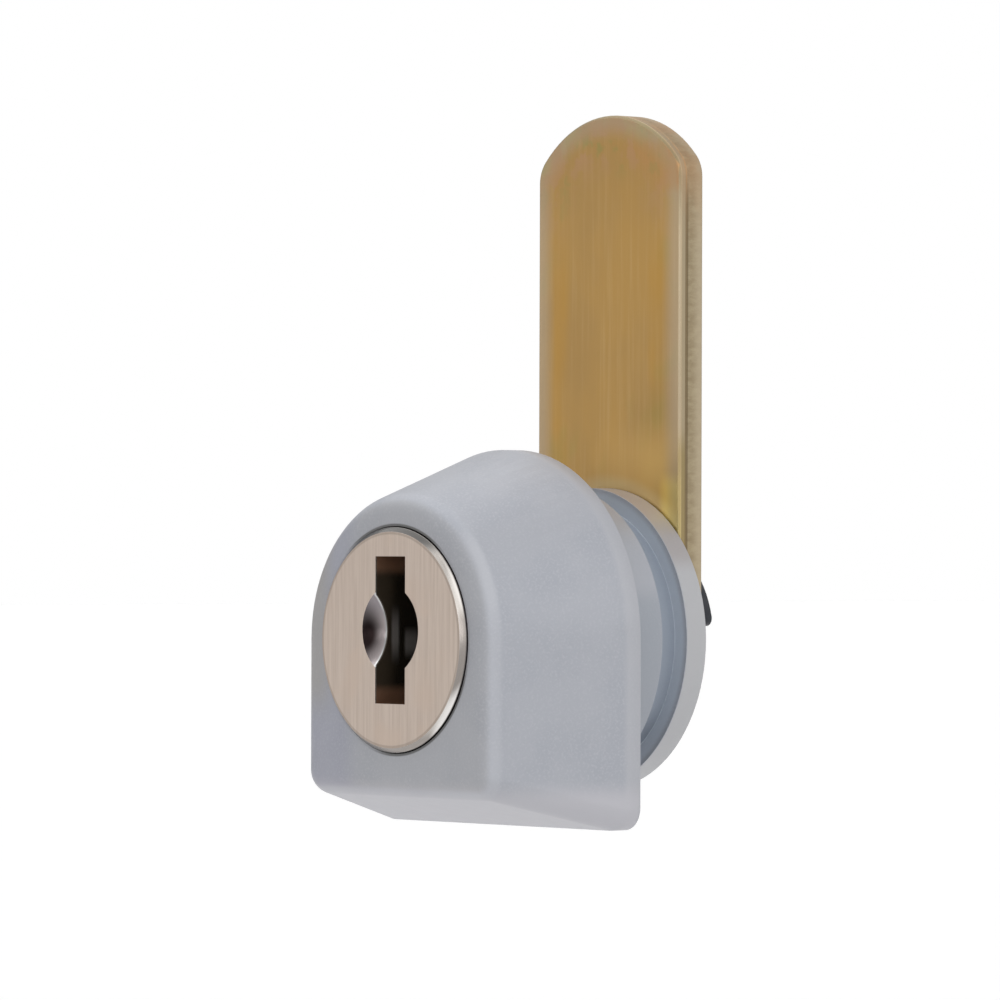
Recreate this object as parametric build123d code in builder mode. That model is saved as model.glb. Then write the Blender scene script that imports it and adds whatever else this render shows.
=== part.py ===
from build123d import *
import os
from math import cos, pi, radians, sin, sqrt

# Locker lock, sizes in millimetres.
# The plug's axis is Y. The key goes in from -Y, the door's outer face lies on the plane Y = 0,
# and the cam behind the door points up, +Z.

# Head, in front of the door
head_depth = 9.7
head_land = 1.2
head_rear_radius = 11.7
head_rear_drop = 11.5
head_front_radius = 8.7
head_front_drop = 9.35
head_corner_round = 1.5
head_edge_round = 1.5

# Body, through the door and behind it
body_radius = 9.4
collar_length = 3.8
clip_groove_width = 2.0
clip_groove_depth = 1.1
end_flange_length = 1.6
pip_radius = 0.8
pip_length = 0.9
pip_inset = 2.0

# Plug
plug_core_radius = 6.3
plug_flange_radius = 6.9
plug_flange_seat = 1.7
plug_proud = 0.4
plug_rim_chamfer = 0.3
tail_radius = 4.0
tail_across_flats = 6.5
tail_past_clip = 1.1
tail_chamfer = 0.4
keyway_width = 2.85
keyway_height = 9.0
keyway_lift = 0.6
keyway_end_wall = 1.1
scoop_radius = 2.7
scoop_ball_radius = 3.4

# Wafers and their springs
wafer_count = 7
wafer_thickness = 1.0
wafer_pitch = 1.75
wafer_front_wall = 1.3
wafer_width = 6.4
wafer_travel = 0.7
wafer_end_inset = 0.1
window_side_gap = 0.2
window_end_gap = 0.1
code_step = 0.35
wafer_codes = (1, 3, 0, 2, 1, 3, 2)
wafer_lug_reach = 1.4
wafer_lug_height = 1.0
spring_pocket_depth = 3.0
spring_pocket_width = 1.3
spring_radius = 0.44
spring_wire = 0.2
spring_turns = 4
spring_steps = 8

# Quarter-turn stop
turn_angle = 90.0
stop_recess_depth = 1.2
stop_recess_wall = 1.65
stop_pocket_wall = 0.75
stop_lug_heading = 270.0
stop_lug_angle = 22.0
stop_clearance_angle = 1.0

# Cam and its fastening
cam_width = 13.5
cam_thickness = 2.0
cam_reach = 32.8
cam_tip_flatter_by = 1.8
cam_tip_corner_round = 2.0
cam_edge_chamfer = 0.15
cam_stand_off = 0.1
spring_washer_radius = 5.7
spring_washer_thickness = 0.3
spring_washer_height = 0.55
clip_radius = 6.25
clip_seat_radius = 3.0
clip_relief_radius = 4.45
clip_mouth = 5.26
clip_thickness = 0.8
clip_mouth_angle = -20.0
clip_corner_round = 0.5
clip_relief_angle = 52.0
clip_relief_middle = 118.0

# Clearances
running_clearance = 0.05
tail_clearance = 0.03
wafer_clearance = 0.05
slot_clearance = 0.2
spring_end_gap = 0.01

# Stations along the axis
head_front = -head_depth
plug_front = head_front - plug_proud
flange_rear = head_front + plug_flange_seat
collar_rear = collar_length
groove_rear = collar_rear + clip_groove_width
body_rear = groove_rear + end_flange_length
recess_floor = body_rear - stop_recess_depth
core_rear = recess_floor + running_clearance
cam_front = body_rear + cam_stand_off
cam_rear = cam_front + cam_thickness
clip_front = cam_rear + spring_washer_height
clip_rear = clip_front + clip_thickness
tail_rear = clip_rear + tail_past_clip
keyway_rear = core_rear - keyway_end_wall

# Radii and heights that follow
bore_radius = plug_core_radius + running_clearance
counterbore_radius = plug_flange_radius + running_clearance
lock_slot_radius = plug_core_radius + wafer_travel + slot_clearance
groove_radius = body_radius - clip_groove_depth
recess_radius = body_radius - stop_recess_wall
stop_pocket_radius = body_radius - stop_pocket_wall
keyway_top = keyway_lift + keyway_height / 2
keyway_bottom = keyway_lift - keyway_height / 2
wafer_end_radius = plug_core_radius - wafer_end_inset
wafer_slot_width = wafer_width + 2 * wafer_clearance
wafer_slot_depth = wafer_thickness + 2 * wafer_clearance
spring_offset = wafer_width / 2 + wafer_lug_reach / 2
spring_foot = wafer_lug_height / 2 + spring_pocket_depth
first_wafer_front = flange_rear + wafer_front_wall


def across(y):
    """The plane square to the lock's axis at depth y, with a positive extrusion running forwards."""
    return Plane.XZ.offset(-y)


def wafer_rear(number):
    return first_wafer_front + (number - 1) * wafer_pitch + wafer_thickness


def wafer_middle(number):
    return wafer_rear(number) - wafer_thickness / 2


def wafer_side(number):
    """Odd wafers spring upwards, even wafers downwards."""
    return 1 if number % 2 else -1


def sector(radius, start, sweep):
    """A slice of a disc about the axis, from the angle start through the angle sweep."""
    with BuildSketch() as slice_of_disc:
        with BuildLine():
            rim = CenterArc((0, 0), radius, start, sweep)
            Line((0, 0), rim @ 0)
            Line(rim @ 1, (0, 0))
        make_face()
    return slice_of_disc.sketch


def flatted_disc(radius, across_flats):
    """A disc with a flat on its left and its right."""
    with BuildSketch() as disc:
        Circle(radius)
        Rectangle(across_flats, 2 * radius, mode=Mode.INTERSECT)
    return disc.sketch


os.makedirs("parts", exist_ok=True)

# Housing
with BuildPart() as housing:
    # head: flat sides and a flat bottom that come closer towards the key
    with BuildSketch(Plane.XY) as plan:
        with BuildLine():
            Polyline(
                (-head_rear_radius, -head_land),
                (head_rear_radius, -head_land),
                (head_front_radius, head_front),
                (-head_front_radius, head_front),
                close=True,
            )
        make_face()
    extrude(amount=-head_rear_drop)
    bottom = Plane(
        origin=(0, -head_land, -head_rear_drop),
        x_dir=(1, 0, 0),
        z_dir=(0, head_rear_drop - head_front_drop, head_depth - head_land),
    )
    split(bisect_by=bottom)
    # its arched top is the left half of the plan, turned over the axis
    with BuildSketch(Plane.XY):
        add(plan.sketch)
        split(bisect_by=Plane.YZ, keep=Keep.BOTTOM)
    revolve(axis=Axis.Y, revolution_arc=180)
    fillet(
        housing.faces().sort_by(Axis.Z)[0].edges().filter_by(Axis.X, reverse=True),
        head_corner_round,
    )
    fillet(housing.faces().sort_by(Axis.Y)[0].edges(), head_edge_round)
    # a short straight land next to the door
    extrude(housing.faces().sort_by(Axis.Y)[-1], amount=head_land)
    # collar, clip groove and end flange
    with BuildSketch(across(body_rear)):
        Circle(body_radius)
    extrude(amount=body_rear)
    with BuildSketch(across(groove_rear)):
        Circle(body_radius)
        Circle(groove_radius, mode=Mode.SUBTRACT)
    extrude(amount=clip_groove_width, mode=Mode.SUBTRACT)
    # two pips in the lower corners that enter small holes in the door and stop the lock turning
    with BuildSketch(across(pip_length)):
        with Locations((0, pip_inset - head_rear_drop)):
            with GridLocations(2 * (head_rear_radius - pip_inset), 1, 2, 1):
                Circle(pip_radius)
    extrude(amount=pip_length)
    # bore, counterbore, and the recess and arc pocket of the quarter-turn stop
    with BuildSketch(across(body_rear)):
        Circle(bore_radius)
    extrude(amount=body_rear - head_front, mode=Mode.SUBTRACT)
    with BuildSketch(across(flange_rear + running_clearance)):
        Circle(counterbore_radius)
    extrude(amount=plug_flange_seat + running_clearance, mode=Mode.SUBTRACT)
    with BuildSketch(across(body_rear)):
        Circle(recess_radius)
        add(
            sector(
                stop_pocket_radius,
                stop_lug_heading - turn_angle - stop_lug_angle / 2 - stop_clearance_angle,
                turn_angle + stop_lug_angle + 2 * stop_clearance_angle,
            )
        )
    extrude(amount=stop_recess_depth, mode=Mode.SUBTRACT)
    # two crossed pairs of grooves that take the wafers, locked and open
    with BuildSketch(across(recess_floor)):
        Circle(lock_slot_radius)
        with BuildSketch(mode=Mode.PRIVATE) as cross:
            Rectangle(2 * lock_slot_radius, wafer_slot_width + 2 * wafer_clearance)
            Rectangle(wafer_slot_width + 2 * wafer_clearance, 2 * lock_slot_radius)
        add(cross.sketch, mode=Mode.INTERSECT)
    extrude(amount=recess_floor - first_wafer_front + slot_clearance, mode=Mode.SUBTRACT)
housing.part.label = "housing"
export_step(housing.part, "parts/housing.step")

# Plug
with BuildPart() as plug:
    with BuildSketch(across(flange_rear)):
        Circle(plug_flange_radius)
    extrude(amount=flange_rear - plug_front)
    chamfer(plug.faces().sort_by(Axis.Y)[0].edges(), plug_rim_chamfer)
    with BuildSketch(across(core_rear)):
        Circle(plug_core_radius)
    extrude(amount=core_rear - flange_rear)
    # flatted tail with the clip's groove
    with BuildSketch(across(tail_rear)):
        add(flatted_disc(tail_radius, tail_across_flats))
    extrude(amount=tail_rear - core_rear)
    chamfer(plug.faces().sort_by(Axis.Y)[-1].edges(), tail_chamfer)
    with BuildSketch(across(clip_rear)):
        Circle(tail_radius)
        Circle(clip_seat_radius, mode=Mode.SUBTRACT)
    extrude(amount=clip_thickness + running_clearance, mode=Mode.SUBTRACT)
    # keyway, and the scoop that leads the key into it
    with BuildSketch(across(keyway_rear)):
        with Locations((0, keyway_lift)):
            Rectangle(keyway_width, keyway_height)
    extrude(amount=keyway_rear - plug_front, mode=Mode.SUBTRACT)
    ball_centre = plug_front - sqrt(scoop_ball_radius**2 - scoop_radius**2)
    with Locations((0, ball_centre, keyway_lift)):
        Sphere(scoop_ball_radius, mode=Mode.SUBTRACT)
    # slots for the wafers, each with a side channel for the wafer's lug
    for number in range(1, wafer_count + 1):
        side = wafer_side(number)
        channel_floor = -side * (wafer_lug_height / 2 + wafer_clearance)
        channel_width = wafer_lug_reach + wafer_clearance
        channel_height = plug_core_radius + wafer_lug_height / 2 + wafer_clearance
        with BuildSketch(across(wafer_rear(number) + wafer_clearance)):
            Rectangle(wafer_slot_width, 2 * plug_flange_radius)
            with Locations(
                (
                    side * (wafer_width / 2 + channel_width / 2),
                    channel_floor + side * channel_height / 2,
                )
            ):
                Rectangle(channel_width, channel_height)
        extrude(amount=wafer_slot_depth, mode=Mode.SUBTRACT)
    # spring pockets beside the slots
    for side in (1, -1):
        floor = Plane(origin=(0, 0, -side * spring_foot), x_dir=(1, 0, 0), z_dir=(0, 0, side))
        with BuildSketch(floor):
            spots = [
                (side * spring_offset, side * wafer_middle(number))
                for number in range(1, wafer_count + 1)
                if wafer_side(number) == side
            ]
            with Locations(*spots):
                Rectangle(spring_pocket_width, spring_pocket_width)
        extrude(amount=spring_pocket_depth, mode=Mode.SUBTRACT)
plug.part.label = "plug"
export_step(plug.part, "parts/plug.step")

# Wafers: plates that cross the plug, each with its own key window and a lug for its spring
for number in range(1, wafer_count + 1):
    side = wafer_side(number)
    code = wafer_codes[(number - 1) % len(wafer_codes)] * code_step
    window_top = keyway_top + window_end_gap
    window_bottom = keyway_bottom - window_end_gap
    # the edge that the spring presses on the key stands further in on a higher code
    if side > 0:
        window_bottom += code
    else:
        window_top -= code
    with BuildPart() as wafer:
        with BuildSketch(across(wafer_rear(number))):
            Circle(wafer_end_radius)
            Rectangle(wafer_width, 2 * wafer_end_radius, mode=Mode.INTERSECT)
            with Locations((side * spring_offset, 0)):
                Rectangle(wafer_lug_reach, wafer_lug_height)
            with Locations((0, (window_top + window_bottom) / 2)):
                Rectangle(
                    keyway_width + 2 * window_side_gap,
                    window_top - window_bottom,
                    mode=Mode.SUBTRACT,
                )
        extrude(amount=wafer_thickness)
    wafer.part.label = f"wafer_{number}"
    export_step(wafer.part, f"parts/wafer_{number}.step")

# Wafer springs: coils that stand in the plug's pockets and press on the wafers' lugs
for number in range(1, wafer_count + 1):
    side = wafer_side(number)
    rise = spring_pocket_depth - spring_wire - 2 * spring_end_gap
    foot_height = spring_foot - spring_wire / 2 - spring_end_gap
    foot = Plane(
        origin=(side * spring_offset, wafer_middle(number), -side * foot_height),
        x_dir=(1, 0, 0),
        z_dir=(0, 0, side),
    )
    with BuildPart() as wafer_spring:
        with BuildLine(foot):
            steps = spring_turns * spring_steps
            coil = Polyline(
                *[
                    (
                        spring_radius * cos(2 * pi * step / spring_steps),
                        spring_radius * sin(2 * pi * step / spring_steps),
                        rise * step / steps,
                    )
                    for step in range(steps + 1)
                ]
            )
        with BuildSketch(Plane(origin=coil @ 0, z_dir=coil % 0)):
            Rectangle(spring_wire, spring_wire)
        sweep(transition=Transition.RIGHT)
    wafer_spring.part.label = f"wafer_spring_{number}"
    export_step(wafer_spring.part, f"parts/wafer_spring_{number}.step")

# Stop washer: turned by the flats of the tail, with a lug that meets the ends of the arc pocket
with BuildPart() as stop_washer:
    with BuildSketch(across(cam_front)):
        Circle(recess_radius - running_clearance)
        add(
            sector(
                stop_pocket_radius - running_clearance,
                stop_lug_heading - stop_lug_angle / 2,
                stop_lug_angle,
            )
        )
        add(
            flatted_disc(tail_radius + tail_clearance, tail_across_flats + 2 * tail_clearance),
            mode=Mode.SUBTRACT,
        )
    extrude(amount=cam_front - core_rear)
stop_washer.part.label = "stop_washer"
export_step(stop_washer.part, "parts/stop_washer.step")

# Cam: a straight tongue with an arched tip, round about the axis at its lower end
with BuildPart() as cam:
    tip_radius = cam_width / 2 + cam_tip_flatter_by
    shoulder = cam_reach - tip_radius + sqrt(tip_radius**2 - (cam_width / 2) ** 2)
    with BuildSketch(across(cam_rear)) as cam_outline:
        with BuildLine():
            left = Line((-cam_width / 2, 0), (-cam_width / 2, shoulder))
            tip = ThreePointArc(left @ 1, (0, cam_reach), (cam_width / 2, shoulder))
            Line(tip @ 1, (cam_width / 2, 0))
            CenterArc((0, 0), cam_width / 2, 180, 180)
        make_face()
        fillet(cam_outline.vertices().group_by(Axis.Y)[-1], cam_tip_corner_round)
    extrude(amount=cam_thickness)
    chamfer(cam.faces().filter_by(Axis.Y).edges(), cam_edge_chamfer)
    with BuildSketch(across(cam_rear)):
        add(flatted_disc(tail_radius + tail_clearance, tail_across_flats + 2 * tail_clearance))
    extrude(amount=cam_thickness, mode=Mode.SUBTRACT)
cam.part.label = "cam"
export_step(cam.part, "parts/cam.step")

# Spring washer: a shallow cone whose rim lies on the cam and whose inner edge meets the clip
with BuildPart() as spring_washer:
    hole_radius = tail_radius + tail_clearance
    with BuildSketch(Plane.XY):
        with BuildLine():
            Polyline(
                (hole_radius, clip_front - spring_washer_thickness),
                (hole_radius, clip_front),
                (spring_washer_radius, cam_rear + spring_washer_thickness),
                (spring_washer_radius, cam_rear),
                close=True,
            )
        make_face()
    revolve(axis=Axis.Y)
spring_washer.part.label = "spring_washer"
export_step(spring_washer.part, "parts/spring_washer.step")

# E-clip: three jaws on the tail's groove, with reliefs between them and a mouth
with BuildPart() as e_clip:
    mouth = radians(clip_mouth_angle)
    mouth_plane = Plane(
        origin=(0, clip_rear, 0),
        x_dir=(cos(mouth), 0, sin(mouth)),
        z_dir=(0, -1, 0),
    )
    with BuildSketch(mouth_plane) as clip_face:
        Circle(clip_radius)
        Circle(clip_seat_radius, mode=Mode.SUBTRACT)
        with Locations((clip_radius / 2, 0)):
            Rectangle(clip_radius, clip_mouth, mode=Mode.SUBTRACT)
        for turn in (1, -1):
            relief = CenterArc(
                (0, 0),
                (clip_seat_radius + clip_relief_radius) / 2,
                turn * clip_relief_middle - clip_relief_angle / 2,
                clip_relief_angle,
                mode=Mode.PRIVATE,
            )
            SlotArc(relief, clip_relief_radius - clip_seat_radius, mode=Mode.SUBTRACT)
        outer_corners = clip_face.vertices().group_by(SortBy.DISTANCE)[-1]
        fillet(outer_corners, clip_corner_round)
    extrude(amount=clip_thickness)
e_clip.part.label = "e_clip"
export_step(e_clip.part, "parts/e_clip.step")
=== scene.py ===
from math import cos, pi, radians, sin

import bpy
from mathutils import Matrix, Vector


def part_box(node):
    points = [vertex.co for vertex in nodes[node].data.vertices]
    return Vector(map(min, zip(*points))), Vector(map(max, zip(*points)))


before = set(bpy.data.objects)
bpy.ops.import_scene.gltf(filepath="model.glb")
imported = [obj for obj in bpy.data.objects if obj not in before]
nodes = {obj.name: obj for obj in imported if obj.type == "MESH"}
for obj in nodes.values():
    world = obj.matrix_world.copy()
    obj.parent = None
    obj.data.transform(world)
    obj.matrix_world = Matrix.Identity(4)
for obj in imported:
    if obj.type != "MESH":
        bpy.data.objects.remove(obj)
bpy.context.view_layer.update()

MM = 0.001

# Places on the CAD nodes, in millimetres: y runs into the door, and z up along the cam
cam_low, cam_high = (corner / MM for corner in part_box("cam"))
plug_low, plug_high = (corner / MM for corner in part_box("plug"))
CAM_HALF_WIDTH = cam_high.x
CAM_TIP_RADIUS = CAM_HALF_WIDTH + 1.8
PLUG_RADIUS = plug_high.x
PLUG_CHAMFER = 0.3
PLUG_PROUD = 0.4
KEYWAY_MIDDLE = 0.6
KEYWAY_HALF_WIDTH = 1.425
KEYWAY_HALF_HEIGHT = 4.5
KEYWAY_REAR = 5.15
SCOOP_RADIUS = 2.7
HEAD_FRONT = plug_low.y + PLUG_PROUD
HEAD_LAND = 0.9
BODY_RADIUS = 9.4
GROOVE_FRONT = 3.8
GROOVE_REAR = 5.8


def rgba(value):
    """A grey level or a linear colour as red, green, blue and alpha."""
    if isinstance(value, (int, float)):
        return (value, value, value, 1.0)
    return (*value, 1.0)


class Graph:
    """The node tree of a material or a world, with short names for the nodes used most."""

    def __init__(self, owner, **surface):
        owner.use_nodes = True
        self.owner = owner
        self.tree = owner.node_tree
        self.shader = self.tree.nodes.get("Principled BSDF")
        self.set(**surface)

    def add(self, kind, settings=None, **inputs):
        node = self.tree.nodes.new("ShaderNode" + kind)
        for key, value in (settings or {}).items():
            setattr(node, key, value)
        self.wire(node, inputs)
        return node

    def set(self, **inputs):
        self.wire(self.shader, inputs)

    def wire(self, node, inputs):
        for socket, value in inputs.items():
            self.feed(node.inputs[socket.replace("_", " ")], value)

    def feed(self, socket, value):
        if isinstance(value, bpy.types.NodeSocket):
            self.tree.links.new(value, socket)
        elif isinstance(value, bpy.types.Node):
            self.tree.links.new(value.outputs[0], socket)
        else:
            socket.default_value = value

    def math(self, operation, *values):
        node = self.add("Math", {"operation": operation})
        for socket, value in zip(node.inputs, values):
            self.feed(socket, value)
        return node.outputs[0]

    def fold(self, operation, values):
        result, *rest = values
        for value in rest:
            result = self.math(operation, result, value)
        return result

    def product(self, *values):
        return self.fold("MULTIPLY", values)

    def most(self, *values):
        """The largest of several values."""
        return self.fold("MAXIMUM", values)

    def off(self, value, middle):
        """How far a value is from the middle, on either side."""
        return self.math("ABSOLUTE", self.math("SUBTRACT", value, middle))

    def length(self, vector):
        node = self.add("VectorMath", {"operation": "LENGTH"}, Vector=vector)
        return node.outputs["Value"]

    def place(self, scale=(1, 1, 1)):
        """The object's own coordinates in millimetres, stretched by scale."""
        where = self.add("TexCoord").outputs["Object"]
        return self.add("Mapping", Vector=where, Scale=[s / MM for s in scale]).outputs[0]

    def axes(self):
        """The object's own x, y and z in millimetres."""
        return self.add("SeparateXYZ", Vector=self.place()).outputs

    def radius(self, lift=0.0):
        """The distance in millimetres from the lock's axis, or from a line that much above it."""
        where = self.add("VectorMath", {"operation": "SUBTRACT"}, Vector=self.place((1, 0, 1)))
        where.inputs[1].default_value = (0, 0, lift)
        return self.length(where)

    def towards(self, x, z, angle):
        """How far a point lies out from the lock's axis at an angle turned from +x up to +z."""
        across = self.product(x, cos(radians(angle)))
        return self.math("ADD", across, self.product(z, sin(radians(angle))))

    def noise(self, scale, detail=4.0, roughness=0.5):
        """Noise with features about one millimetre across at a scale of 1, or one for each axis."""
        return self.add(
            "TexNoise",
            Vector=self.place(scale if isinstance(scale, tuple) else (scale, scale, scale)),
            Scale=1.0,
            Detail=detail,
            Roughness=roughness,
        ).outputs["Fac"]

    def rings(self, scale, detail):
        """Noise that changes only with the distance from the lock's axis, as turning leaves it."""
        plain = {"noise_dimensions": "1D"}
        node = self.add("TexNoise", plain, W=self.radius(), Scale=scale, Detail=detail)
        return node.outputs[0]

    def fade(self, value, start, end):
        """0 up to start and 1 from end on, with a smooth change between them."""
        return self.add(
            "MapRange",
            {"interpolation_type": "SMOOTHSTEP"},
            Value=value,
            From_Min=start,
            From_Max=end,
        ).outputs["Result"]

    def band(self, value, low, high, soft):
        """1 between low and high, and a smooth fall of that width outside."""
        return self.product(self.fade(value, low - soft, low), self.fade(value, high + soft, high))

    def within(self, value, half, softness):
        """1 up to half on either side of 0, with a smooth fall over that share of it each way."""
        away = self.math("ABSOLUTE", value)
        return self.fade(away, half * (1 + softness), half * (1 - softness))

    def level(self, value, low, high):
        """A value from 0 to 1 spread from low to high."""
        return self.add("MapRange", Value=value, To_Min=low, To_Max=high).outputs["Result"]

    def mix(self, factor, a, b, blend="MIX"):
        """Colour a where the factor is 0, and b, or the blend of the two, where it is 1."""
        node = self.add("Mix", {"data_type": "RGBA", "blend_type": blend})
        sockets = [s for s in node.inputs if s.type == "RGBA"]
        self.feed(node.inputs["Factor"], factor)
        for socket, value in zip(sockets, (a, b)):
            self.feed(socket, value if isinstance(value, bpy.types.NodeSocket) else rgba(value))
        return next(s for s in node.outputs if s.type == "RGBA")

    def tint(self, colour, tone, *masks):
        """The colour turned into a tone, as far as all the masks allow."""
        return self.mix(self.product(*masks), colour, tone)

    def scaled(self, colour, tone, *masks):
        """The colour multiplied by a tone, as far as all the masks allow."""
        return self.mix(self.product(*masks), colour, tone, "MULTIPLY")

    def bump(self, height, depth, normal=None):
        """A normal from a height of 0 to 1, for a relief that many millimetres deep."""
        node = self.add("Bump", Height=height, Distance=depth * MM)
        if normal is not None:
            self.feed(node.inputs["Normal"], normal)
        return node.outputs["Normal"]

    def choose(self, factor, a, b):
        """Shader a where the factor is 0, and b where it is 1."""
        node = self.add("MixShader", Fac=factor)
        self.feed(node.inputs[1], a)
        self.feed(node.inputs[2], b)
        return node


def material(name, **surface):
    return Graph(bpy.data.materials.new(name), **surface)


def gap_shade(g, x, z):
    """1 at the top and the lower right of the plug's rim, where painted shade darkens the gap, and
    0 elsewhere.
    """
    return g.most(g.fade(z, 5.1, 6.3), g.fade(g.towards(x, z, -60), 4.25, 6.0))


def housing_satin():
    """Grey satin coat on a zinc casting: faint clouds, fine grain and a soft unevenness."""
    g = material("housing_satin", Metallic=0.25)
    x, y, z = g.axes()
    radius = g.radius()
    behind = g.math("SUBTRACT", y, HEAD_FRONT)
    cloud = g.noise(0.22, detail=3)
    grain = g.noise(7, detail=2)
    colour = g.mix(g.fade(cloud, 0.38, 0.62), (0.372, 0.387, 0.430), (0.397, 0.410, 0.450))
    colour = g.tint(colour, (0.428, 0.440, 0.478), g.fade(grain, 0.45, 0.75))
    # painted shade makes the clip groove darker and bluer, most of all low down, and painted light
    # brightens its rear wall
    groove = g.product(
        g.band(y, GROOVE_FRONT, GROOVE_REAR, 0.1),
        g.fade(radius, BODY_RADIUS, BODY_RADIUS - 0.5),
    )
    groove_floor_shade = g.mix(g.fade(z, -4.0, -6.0), (0.325, 0.38, 0.455), (0.19, 0.23, 0.29))
    rear_wall = g.fade(y, GROOVE_REAR - 0.04, GROOVE_REAR - 0.005)
    colour = g.tint(colour, g.mix(rear_wall, groove_floor_shade, (0.60, 0.66, 0.73)), groove, 0.7)
    # painted shade darkens the collar low down and the end flange's upper part, and painted light
    # pales the flange below it, the head's land and lower edge
    collar = g.product(
        g.band(y, 0.2, GROOVE_FRONT - 0.1, 0.1),
        g.fade(radius, BODY_RADIUS + 0.2, BODY_RADIUS + 0.1),
    )
    collar_shade = g.mix(g.fade(z, 2.0, 3.6), (0.348, 0.375, 0.418), (0.43, 0.445, 0.485))
    colour = g.tint(colour, collar_shade, collar, 0.7)
    flange = g.fade(y, GROOVE_REAR, GROOVE_REAR + 0.1)
    flange_light_and_shade = g.mix(g.fade(z, 4.0, 5.5), (0.50, 0.50, 0.51), (0.41, 0.375, 0.365))
    colour = g.tint(colour, flange_light_and_shade, flange, 0.8)
    land = g.band(y, -HEAD_LAND, 0.0, 0.6)
    colour = g.tint(colour, (0.47, 0.475, 0.505), land, 0.6)
    lower = g.product(g.fade(z, -8.2, -9.8), g.fade(y, 0.0, -0.2))
    colour = g.tint(colour, (0.50, 0.495, 0.53), lower, 0.9)
    # painted shade makes the head's face darker than its sides, most of all on the left, with a
    # warm painted shade on its left edge
    face = g.fade(behind, 0.45, 0.15)
    colour = g.scaled(colour, (0.945, 0.93, 0.905), face)
    colour = g.scaled(colour, (0.905, 0.905, 0.97), face, g.fade(x, -3.0, -5.5))
    left_edge_shade = g.product(g.fade(x, -5.5, -7.5), g.fade(behind, 1.1, 0.5), g.fade(z, -5.5, -2.5))
    colour = g.tint(colour, (0.345, 0.325, 0.29), left_edge_shade, 0.6)
    # a painted highlight lies on the crest between the face and the right side, most of all halfway
    # up
    crest = g.product(
        g.band(behind, 0.5, 0.7, 0.4),
        g.fade(x, 2.0, 5.0),
        g.fade(radius, 7.4, 7.8),
        g.fade(z, 7.2, 5.4),
    )
    painted_light = g.level(g.fade(z, 0.0, 3.0), 0.35, 0.62)
    colour = g.tint(colour, (0.50, 0.51, 0.545), crest, painted_light)
    # painted shade darkens the corner behind the head unevenly, and the mouth of the bore round the
    # plug, most of all at the top and lower right
    corner = g.product(
        g.band(y, 0.0, 0.25, 0.6),
        g.fade(radius, BODY_RADIUS + 0.8, BODY_RADIUS + 0.2),
    )
    colour = g.tint(colour, (0.20, 0.20, 0.21), corner, g.level(cloud, 0.15, 0.6))
    mouth = g.product(
        g.fade(radius, PLUG_RADIUS + 0.25, PLUG_RADIUS + 0.15),
        g.fade(behind, 0.7, 0.4),
    )
    colour = g.tint(colour, 0.12, mouth, g.level(gap_shade(g, x, z), 0.15, 1.0))
    g.set(
        Base_Color=colour,
        Roughness=g.level(g.noise(1.2), 0.40, 0.52),
        Normal=g.bump(g.noise(1.6, detail=3), 0.006, g.bump(grain, 0.002)),
    )
    return g


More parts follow.
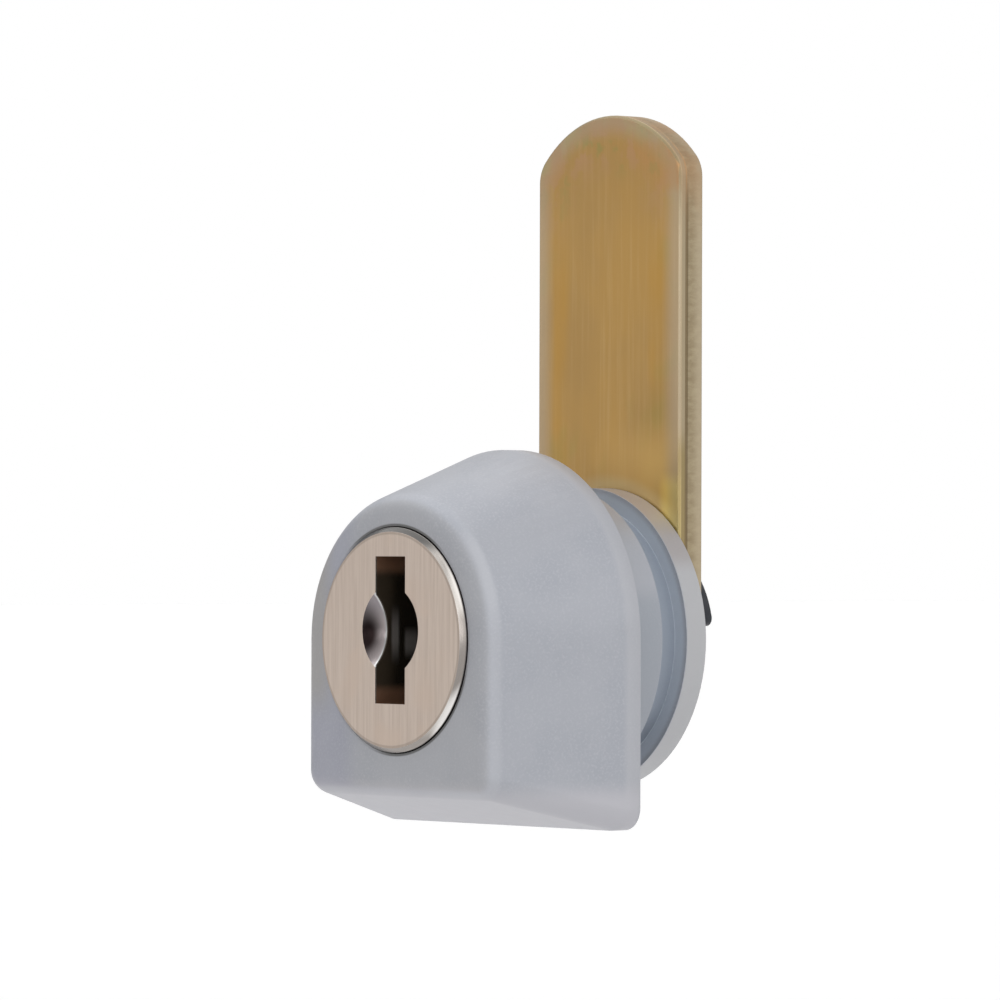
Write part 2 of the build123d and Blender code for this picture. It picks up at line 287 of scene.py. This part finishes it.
def plug_nickel():
    """Brushed warm nickel face with a turned rim, a turned scoop and a dark keyway."""
    g = material("plug_nickel")
    x, y, z = g.axes()
    radius = g.radius()
    into = g.math("SUBTRACT", y, plug_low.y)
    side = g.math("ABSOLUTE", x)
    lift = g.math("SUBTRACT", z, KEYWAY_MIDDLE)
    off_middle = g.math("ABSOLUTE", lift)
    head = g.fade(y, 1.0, 0.0)
    face = g.fade(into, 0.02, 0.01)
    turned = g.math("SUBTRACT", 1.0, face)
    rings = g.rings(9.0, detail=3.0)
    plain = g.mix(rings, (0.42, 0.39, 0.36), (0.54, 0.51, 0.48))
    # painted shade darkens the scoop towards its rim and changes its tone with height, and a
    # painted highlight, partly wear from keys, brightens it along the keyway
    scoop = g.fade(g.radius(KEYWAY_MIDDLE), SCOOP_RADIUS + 0.1, SCOOP_RADIUS + 0.05)
    lower = g.product(g.math("ADD", lift, 0.35), 0.38)
    from_spot = g.length(g.add("CombineXYZ", X=g.math("SUBTRACT", side, 2.45), Y=lower))
    painted_light = g.mix(g.fade(lift, 0.4, 1.6), (0.35, 0.31, 0.31), (0.26, 0.235, 0.245))
    scoop_shade = g.tint(painted_light, (0.012, 0.008, 0.008), g.fade(from_spot, 1.15, 0.2))
    shine = g.level(g.fade(off_middle, 0.9, 1.8), 0.29, 0.56)
    along = g.fade(side, KEYWAY_HALF_WIDTH + 0.2, KEYWAY_HALF_WIDTH + 0.08)
    plain = g.tint(plain, g.tint(scoop_shade, shine, along), scoop, head)
    # the face is brushed up and down, with a thin dark line before its bright rim
    strokes = g.noise((5.5, 5.5, 0.16), detail=5, roughness=0.65)
    brushed = g.mix(g.fade(strokes, 0.3, 0.7), (0.448, 0.369, 0.315), (0.522, 0.439, 0.378))
    blotch = g.fade(g.noise(0.35, detail=2), 0.5, 0.7)
    brushed = g.tint(brushed, (0.50, 0.40, 0.33), blotch, 0.5)
    colour = g.mix(face, plain, brushed)
    rim = PLUG_RADIUS - PLUG_CHAMFER
    line = g.band(radius, rim - 0.12, rim, 0.06)
    colour = g.tint(colour, (0.16, 0.13, 0.11), face, line, 0.35)
    # painted shade darkens the rim at the top and, more lightly, at its middle and below, and
    # painted highlights brighten it at two places
    chamfer = g.product(g.fade(radius, rim - 0.08, rim - 0.04), turned, head)
    colour = g.tint(colour, 0.04, chamfer, g.fade(z, 4.6, 6.1), 0.9)
    chamfer_shade = g.most(
        g.product(g.fade(g.off(z, -0.8), 3.0, 2.0), 0.8),
        g.product(g.fade(z, -5.3, -6.0), 0.6),
    )
    colour = g.tint(colour, (0.24, 0.215, 0.20), chamfer, chamfer_shade)
    chamfer_glints = g.most(
        g.product(g.fade(g.towards(x, z, -40), 6.4, 6.8), 0.8),
        g.product(g.fade(g.towards(x, z, 30), 6.55, 6.85), 0.3),
    )
    colour = g.tint(colour, (0.86, 0.84, 0.82), chamfer, chamfer_glints)
    # painted shade darkens the proud side wall; deeper in the gap, painted light lifts the wall at
    # the sides and painted shade darkens it at the top and lower right
    wall = g.fade(into, PLUG_CHAMFER - 0.04, PLUG_CHAMFER)
    colour = g.tint(colour, (0.23, 0.21, 0.20), chamfer, wall)
    gap = g.fade(into, PLUG_PROUD, PLUG_PROUD + 0.1)
    colour = g.tint(colour, g.mix(gap_shade(g, x, z), (0.78, 0.76, 0.74), 0.2), chamfer, gap)
    # painted shade darkens the keyway with depth, but for two painted reflections in streaks; its
    # ends keep the wafers' brown
    inside = g.product(
        g.fade(into, 0.02, 0.15),
        g.fade(side, KEYWAY_HALF_WIDTH + 0.07, KEYWAY_HALF_WIDTH + 0.05),
        g.fade(off_middle, KEYWAY_HALF_HEIGHT + 0.1, KEYWAY_HALF_HEIGHT + 0.05),
        g.fade(y, KEYWAY_REAR + 0.2, KEYWAY_REAR + 0.1),
    )
    hollow = g.mix(g.fade(into, 0.9, 1.9), (0.050, 0.038, 0.026), (0.018, 0.015, 0.011))
    for start, end, centre, reach in ((1.45, 1.75, -0.3, 2.0), (2.5, 3.2, -0.8, 1.1)):
        streak = g.product(g.band(into, start, end, 0.25), g.fade(g.off(lift, centre), reach, 0.2))
        hollow = g.tint(hollow, (0.20, 0.185, 0.175), streak)
    tips = g.fade(off_middle, KEYWAY_HALF_HEIGHT - 1.3, KEYWAY_HALF_HEIGHT - 0.6)
    hollow = g.tint(hollow, (0.19, 0.105, 0.065), tips)
    g.set(
        Base_Color=g.tint(colour, hollow, inside),
        Metallic=g.level(inside, 1.0, 0.2),
        Roughness=g.mix(turned, g.level(strokes, 0.26, 0.42), g.level(rings, 0.18, 0.28)),
        Normal=g.bump(strokes, 0.006, g.bump(g.product(rings, turned), 0.001)),
    )
    return g


def cam_zinc():
    """Yellow chromate on a stamped plate: golden and olive clouds, copper spots near the tip,
    streaks along the rolling direction, and a sheared edge with a smooth and a rough part."""
    g = material("cam_yellow_zinc", Metallic=1.0)
    x, y, z = g.axes()
    depth = g.math("SUBTRACT", y, cam_low.y)
    below_tip = g.math("SUBTRACT", cam_high.z, z)
    above_flange = g.math("SUBTRACT", z, BODY_RADIUS)
    # how far a point lies inside the outline, which is round about the axis at its lower end
    across = g.length(g.add("CombineXYZ", X=x, Y=g.math("MINIMUM", z, 0.0)))
    to_side = g.math("SUBTRACT", CAM_HALF_WIDTH, across)
    to_arc = g.math("SUBTRACT", CAM_TIP_RADIUS, g.radius(cam_high.z - CAM_TIP_RADIUS))
    far_below = g.fade(below_tip, CAM_TIP_RADIUS, CAM_TIP_RADIUS + 2)
    inset = g.math("MINIMUM", to_side, g.math("ADD", to_arc, g.product(far_below, 50.0)))
    front = g.fade(depth, 0.6, 0.3)
    edge = g.fade(inset, 0.17, 0.115)
    near_tip = g.fade(below_tip, 9, 2)

    cloud = g.noise((0.16, 0.16, 0.11), detail=3)
    streaks = g.noise((4.2, 4.2, 0.12), detail=5, roughness=0.6)
    spots = g.noise((0.5, 0.5, 0.35), detail=4, roughness=0.6)
    spotted = g.fade(spots, 0.35, 0.6)
    colour = g.mix(g.fade(cloud, 0.36, 0.62), (0.412, 0.248, 0.080), (0.384, 0.238, 0.086))
    green = g.fade(g.noise((0.3, 0.3, 0.2), detail=2), 0.56, 0.72)
    colour = g.tint(colour, (0.33, 0.25, 0.075), green, 0.5)
    colour = g.tint(colour, (0.53, 0.37, 0.175), g.fade(streaks, 0.45, 0.75), 0.24)
    # a deeper gold runs in patches inside the sides, and painted light makes the front paler next
    # to the flange
    patches = g.fade(g.noise((0.25, 0.25, 0.12), detail=2), 0.35, 0.6)
    sides = g.band(to_side, 1.9, 2.5, 0.8)
    colour = g.tint(colour, (0.43, 0.247, 0.064), sides, patches, g.fade(below_tip, 6, 10), 0.8)
    flange_side_light = g.mix(g.fade(x, 2.0, 4.5), (0.62, 0.39, 0.135), (0.69, 0.45, 0.155))
    colour = g.tint(colour, flange_side_light, g.fade(above_flange, 5.1, 0.1), g.fade(x, -2.5, 4), front)
    # a painted reflection of the flange makes the front lighter and greyer just outside it
    ring = g.fade(g.radius(), BODY_RADIUS + 1.1, BODY_RADIUS + 0.2)
    colour = g.scaled(colour, (1.05, 1.20, 1.60), ring, front)
    # rosy and olive mottles lie round the tip, and copper tints gather along its edges
    mottle = g.noise((0.7, 0.7, 0.5), detail=3, roughness=0.6)
    round_tip = g.product(g.fade(inset, 4.5, 1.5), near_tip)
    colour = g.tint(colour, (0.41, 0.245, 0.13), round_tip, g.fade(mottle, 0.5, 0.62), 0.7)
    colour = g.tint(colour, (0.29, 0.25, 0.085), round_tip, g.fade(mottle, 0.46, 0.36), 0.7)
    at_edge = g.product(g.fade(inset, 1.6, 0.2), near_tip)
    colour = g.tint(colour, (0.42, 0.17, 0.07), at_edge, g.fade(spots, 0.4, 0.6), 0.8)
    # the face pales where it rolls over into the edge, but for a rosy patch on the tip's right
    # shoulder, and painted light makes the edge next to the flange a brighter gold
    pale = g.mix(near_tip, (0.42, 0.35, 0.26), (0.37, 0.345, 0.235))
    colour = g.tint(colour, pale, g.fade(inset, 1.8, 0.3), 0.55)
    shoulder = g.product(
        g.fade(x, 1.0, 4.0),
        g.band(below_tip, 2.2, 4.4, 0.9),
        g.fade(inset, 3.4, 1.4),
        g.level(spotted, 0.5, 1.0),
    )
    colour = g.tint(colour, (0.44, 0.235, 0.10), shoulder, 0.75)
    low = g.product(g.fade(above_flange, 1.2, -0.2), g.fade(inset, 2.1, 1.1), front)
    colour = g.scaled(colour, (1.35, 1.45, 1.10), low)
    # the corner is worn bright and carries a painted highlight, less so at the tip
    corner = g.product(g.fade(inset, 0.2, 0.1), g.fade(depth, 0.2, 0.1))
    wear_and_highlight = g.mix(near_tip, (0.38, 0.315, 0.22), (0.22, 0.185, 0.11))
    colour = g.tint(colour, wear_and_highlight, corner, 0.8)
    # sheared edge: smooth for the first third, then a dark step and a grey-tan broken part
    smooth = g.product(edge, g.band(depth, 0.2, 0.45, 0.1))
    colour = g.tint(colour, (0.37, 0.300, 0.198), smooth)
    yellowed = g.fade(above_flange, 4.0, 1.8)
    colour = g.scaled(colour, (0.83, 0.79, 0.60), g.most(corner, smooth), yellowed)
    rough = g.product(edge, g.fade(depth, 0.52, 0.62))
    broken = g.noise((3, 1.2, 3), detail=5, roughness=0.7)
    tan = g.mix(g.fade(broken, 0.35, 0.7), (0.29, 0.230, 0.142), (0.38, 0.315, 0.205))
    colour = g.tint(colour, tan, rough)
    colour = g.tint(colour, (0.47, 0.395, 0.28), rough, g.fade(depth, 0.9, 1.7), 0.7)
    step = g.product(edge, g.band(depth, 0.50, 0.66, 0.08), g.fade(below_tip, 3, 6))
    colour = g.tint(colour, (0.15, 0.11, 0.06), step, 0.8)
    coppered = g.product(near_tip, g.fade(depth, 0.12, 0.25), g.level(spotted, 0.15, 0.55))
    colour = g.tint(colour, (0.40, 0.24, 0.125), edge, coppered)
    g.set(
        Base_Color=colour,
        Roughness=g.level(g.most(rough, near_tip, g.fade(cloud, 0.3, 0.8)), 0.34, 0.52),
        Normal=g.bump(streaks, 0.004, g.bump(g.product(broken, rough), 0.03)),
    )
    return g


def turned_steel():
    """Turned steel: fine rings about the axis under faint clouds."""
    light, dark = (0.50, 0.50, 0.51), (0.34, 0.34, 0.35)
    g = material("plain_steel", Metallic=1.0)
    rings = g.rings(7.0, detail=4.0)
    cloud = g.noise(0.5, detail=3)
    colour = g.mix(g.fade(rings, 0.35, 0.65), dark, light)
    colour = g.tint(colour, dark, g.fade(cloud, 0.45, 0.7), 0.5)
    g.set(
        Base_Color=colour,
        Roughness=g.level(rings, 0.24, 0.40),
        Normal=g.bump(rings, 0.004),
    )
    return g


def clip_black():
    """Blackened spring steel with small brown specks of wear."""
    g = material("dark_steel", Metallic=0.9)
    cloud = g.noise(0.8, detail=4)
    wear = g.fade(g.noise(4, detail=3), 0.6, 0.8)
    colour = g.mix(g.fade(cloud, 0.3, 0.7), (0.034, 0.036, 0.042), (0.052, 0.054, 0.061))
    g.set(
        Base_Color=g.tint(colour, (0.12, 0.10, 0.09), wear, 0.3),
        Roughness=g.level(cloud, 0.3, 0.46),
        Normal=g.bump(g.noise(6, detail=2), 0.003),
    )
    return g


def wafer_brass():
    """Stamped brass: straight rolling lines, a duller tarnish in patches."""
    g = material("wafer_brass", Metallic=1.0)
    lines = g.noise((9, 9, 0.4), detail=4, roughness=0.6)
    tarnish = g.fade(g.noise(0.45, detail=4), 0.45, 0.68)
    colour = g.mix(g.fade(lines, 0.3, 0.7), (0.53, 0.36, 0.13), (0.66, 0.48, 0.21))
    g.set(
        Base_Color=g.tint(colour, (0.36, 0.22, 0.09), tarnish, 0.6),
        Roughness=g.level(tarnish, 0.25, 0.42),
        Normal=g.bump(lines, 0.003),
    )
    return g


def spring_wire():
    """Drawn spring wire with a light, uneven plating."""
    g = material("spring_wire", Metallic=1.0)
    grain = g.noise(10, detail=3)
    g.set(
        Base_Color=g.mix(g.fade(grain, 0.35, 0.65), (0.42, 0.42, 0.44), (0.60, 0.60, 0.61)),
        Roughness=g.level(grain, 0.2, 0.34),
        Normal=g.bump(grain, 0.003),
    )
    return g


# Faces that meet at less than the first angle are one plane, and at more than the second an edge
ONE_PLANE = radians(0.6)
HARD_EDGE = radians(30)
BEVEL_SEGMENTS = 3
WELD_REACH = 0.001


def rounded(node, width):
    """Rounds the CAD node's hard edges by a bevel that many millimetres wide."""
    node.data.polygons.foreach_set("use_smooth", [True] * len(node.data.polygons))
    weld = node.modifiers.new("weld", "WELD")
    weld.merge_threshold = WELD_REACH * MM
    planar = node.modifiers.new("planar", "DECIMATE")
    planar.decimate_type = "DISSOLVE"
    planar.angle_limit = ONE_PLANE
    bevel = node.modifiers.new("bevel", "BEVEL")
    bevel.width = width * MM
    bevel.segments = BEVEL_SEGMENTS
    bevel.limit_method = "ANGLE"
    bevel.angle_limit = HARD_EDGE
    bevel.use_clamp_overlap = True
    shading = node.modifiers.new("shading", "WEIGHTED_NORMAL")
    shading.keep_sharp = True


# Each node's material, material slot and width of its rounded edges in millimetres
brass = wafer_brass()
wire = spring_wire()
steel = turned_steel()
dressing = {
    "housing": (housing_satin(), "housing_paint", 0.2),
    "plug": (plug_nickel(), "plug_nickel", 0.06),
    "cam": (cam_zinc(), "cam_zinc", 0.1),
    "e_clip": (clip_black(), "dark_steel", 0.08),
    "stop_washer": (steel, "plain_steel", 0.08),
    "spring_washer": (steel, "plain_steel", 0.05),
}
for number in range(1, 8):
    dressing[f"wafer_{number}"] = (brass, "wafer_brass", 0.05)
    dressing[f"wafer_spring_{number}"] = (wire, "spring_wire", None)
for name, (graph, slot, round_width) in dressing.items():
    node = nodes[name]
    node.data.materials.clear()
    node.data.materials.append(graph.owner)
    if round_width:
        rounded(node, round_width)

# World: white to the eye, white with two soft dark screens in reflections, and a plain fill light.
# A screen is its azimuth, elevation, half width and half height in degrees, and its darkness.
FILL = 0.42
SCREENS = [(-100, 0, 28, 24, 0.5), (205, 10, 25, 40, 0.4)]
SCREEN_SOFTNESS = 0.4
world = bpy.data.worlds.new("studio")
bpy.context.scene.world = world
sky = Graph(world)
sky.tree.nodes.clear()
toward = sky.add("SeparateXYZ", Vector=sky.add("TexCoord").outputs["Generated"]).outputs
heading = sky.math("ARCTAN2", toward["X"], sky.math("MULTIPLY", toward["Y"], -1.0))
height = sky.math("ARCSINE", toward["Z"])
mirrored = 1.0
for azimuth, elevation, half_width, half_height, darkness in SCREENS:
    turn = sky.math("WRAP", sky.math("SUBTRACT", heading, radians(azimuth)), pi, -pi)
    rise = sky.math("SUBTRACT", height, radians(elevation))
    screen = sky.product(
        sky.within(turn, radians(half_width), SCREEN_SOFTNESS),
        sky.within(rise, radians(half_height), SCREEN_SOFTNESS),
        darkness,
    )
    mirrored = sky.product(mirrored, sky.math("SUBTRACT", 1.0, screen))
fill, screened, white = (
    sky.add("Background", Color=rgba(1.0), Strength=strength) for strength in (FILL, mirrored, 1.0)
)
rays = sky.add("LightPath").outputs
lit = sky.choose(sky.most(rays["Is Glossy Ray"], rays["Is Transmission Ray"]), fill, screened)
sky.add("OutputWorld", Surface=sky.choose(rays["Is Camera Ray"], lit, white))


def bearing(azimuth, elevation):
    """The direction from the lock to an azimuth and an elevation in degrees."""
    a, e = radians(azimuth), radians(elevation)
    return Vector((sin(a) * cos(e), -cos(a) * cos(e), sin(e)))


def soft_sun(name, azimuth, elevation, level, width):
    """A sun that many degrees wide, which lights a white surface facing it to that level."""
    lamp = bpy.data.lights.new(name, "SUN")
    lamp.energy = level * pi
    lamp.angle = radians(width)
    sun = bpy.data.objects.new(name, lamp)
    sun.rotation_mode = "QUATERNION"
    sun.rotation_quaternion = bearing(azimuth, elevation).to_track_quat("Z", "Y")
    bpy.context.scene.collection.objects.link(sun)


soft_sun("key", azimuth=72, elevation=25, level=0.29, width=90)
soft_sun("top", azimuth=-80, elevation=65, level=0.33, width=70)
soft_sun("front", azimuth=25, elevation=5, level=0.08, width=30)

# Camera, fitted to the photograph's outline: angles in degrees, lengths in millimetres
LENS, SENSOR_WIDTH = 234.0, 36
NEAR, FAR = 10, 20000
AZIMUTH, ELEVATION, ROLL = 49.742, -0.386, 0.178
DISTANCE, ASIDE, ABOVE = 403.03, -0.987, 8.609
back = bearing(AZIMUTH, ELEVATION)
level = Vector((cos(radians(AZIMUTH)), sin(radians(AZIMUTH)), 0))
right = cos(radians(ROLL)) * level + sin(radians(ROLL)) * back.cross(level)
up = back.cross(right)
camera = bpy.data.objects.new("camera", bpy.data.cameras.new("camera"))
camera.data.lens = LENS
camera.data.sensor_width = SENSOR_WIDTH
camera.data.clip_start = NEAR * MM
camera.data.clip_end = FAR * MM
spot = (back * DISTANCE + right * ASIDE + up * ABOVE) * MM
camera.matrix_world = Matrix.Translation(spot) @ Matrix((right, up, back)).transposed().to_4x4()
bpy.context.scene.collection.objects.link(camera)
bpy.context.scene.camera = camera
bpy.context.scene.view_settings.view_transform = "Standard"

# Floor, white to the eye and in reflections but for the object's shadow
FLOOR_HEIGHT = -45 * MM
FLOOR_HALF = 4000 * MM
FLOOR_WHITE = 0.95
FLOOR_GLOW = 0.19
mesh = bpy.data.meshes.new("floor")
corners = ((-1, -1), (1, -1), (1, 1), (-1, 1))
mesh.from_pydata(
    [(x * FLOOR_HALF, y * FLOOR_HALF, FLOOR_HEIGHT) for x, y in corners], [], [(0, 1, 2, 3)]
)
floor = bpy.data.objects.new("floor", mesh)
bpy.context.scene.collection.objects.link(floor)
ground = material("floor", Roughness=1.0, Base_Color=rgba(FLOOR_WHITE), Specular_IOR_Level=0.0)
rays = ground.add("LightPath").outputs
seen = ground.most(rays["Is Camera Ray"], rays["Is Glossy Ray"])
ground.set(Emission_Color=rgba(1.0), Emission_Strength=ground.product(seen, FLOOR_GLOW))
floor.data.materials.append(ground.owner)
